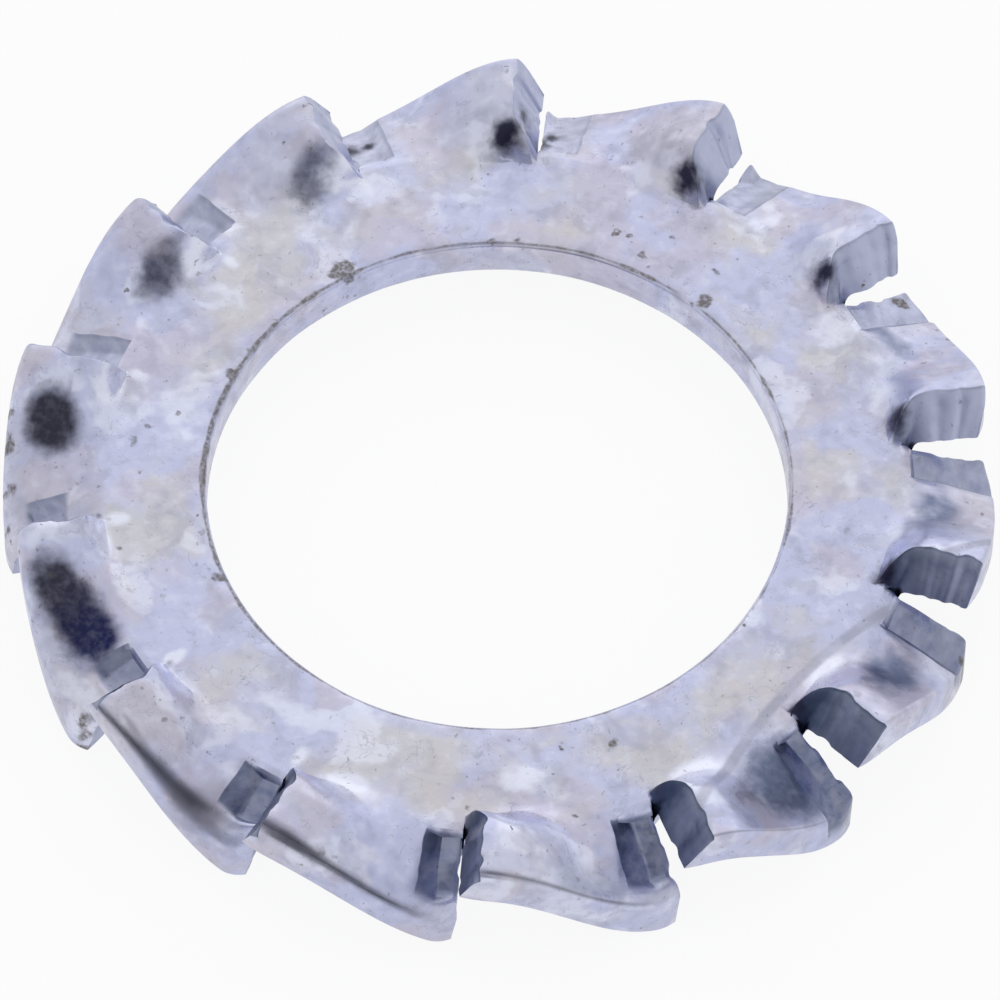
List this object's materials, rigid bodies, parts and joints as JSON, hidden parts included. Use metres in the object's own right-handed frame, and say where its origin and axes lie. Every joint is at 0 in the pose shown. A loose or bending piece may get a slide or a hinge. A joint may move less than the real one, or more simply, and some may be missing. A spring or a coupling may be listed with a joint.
{
  "type": "toothed lock washer",
  "caption": "Flat steel ring with a round bore and a fan of twisted teeth round its outside, which bite into the nut and the surface below to stop a screw from coming loose.",
  "frame": {"origin": "centre of the bore, halfway through the sheet", "axes": "+Z along the screw's axis; the teeth stand out by the same amount above and below; the middle of one tooth is on +X"},
  "size_m": [0.0146, 0.0146, 0.0021],
  "materials": {
    "zinc_plated_steel": "satin"
  },
  "bodies": {
    "root": {"lock_washer": "zinc_plated_steel"}
  },
  "joints": []
}
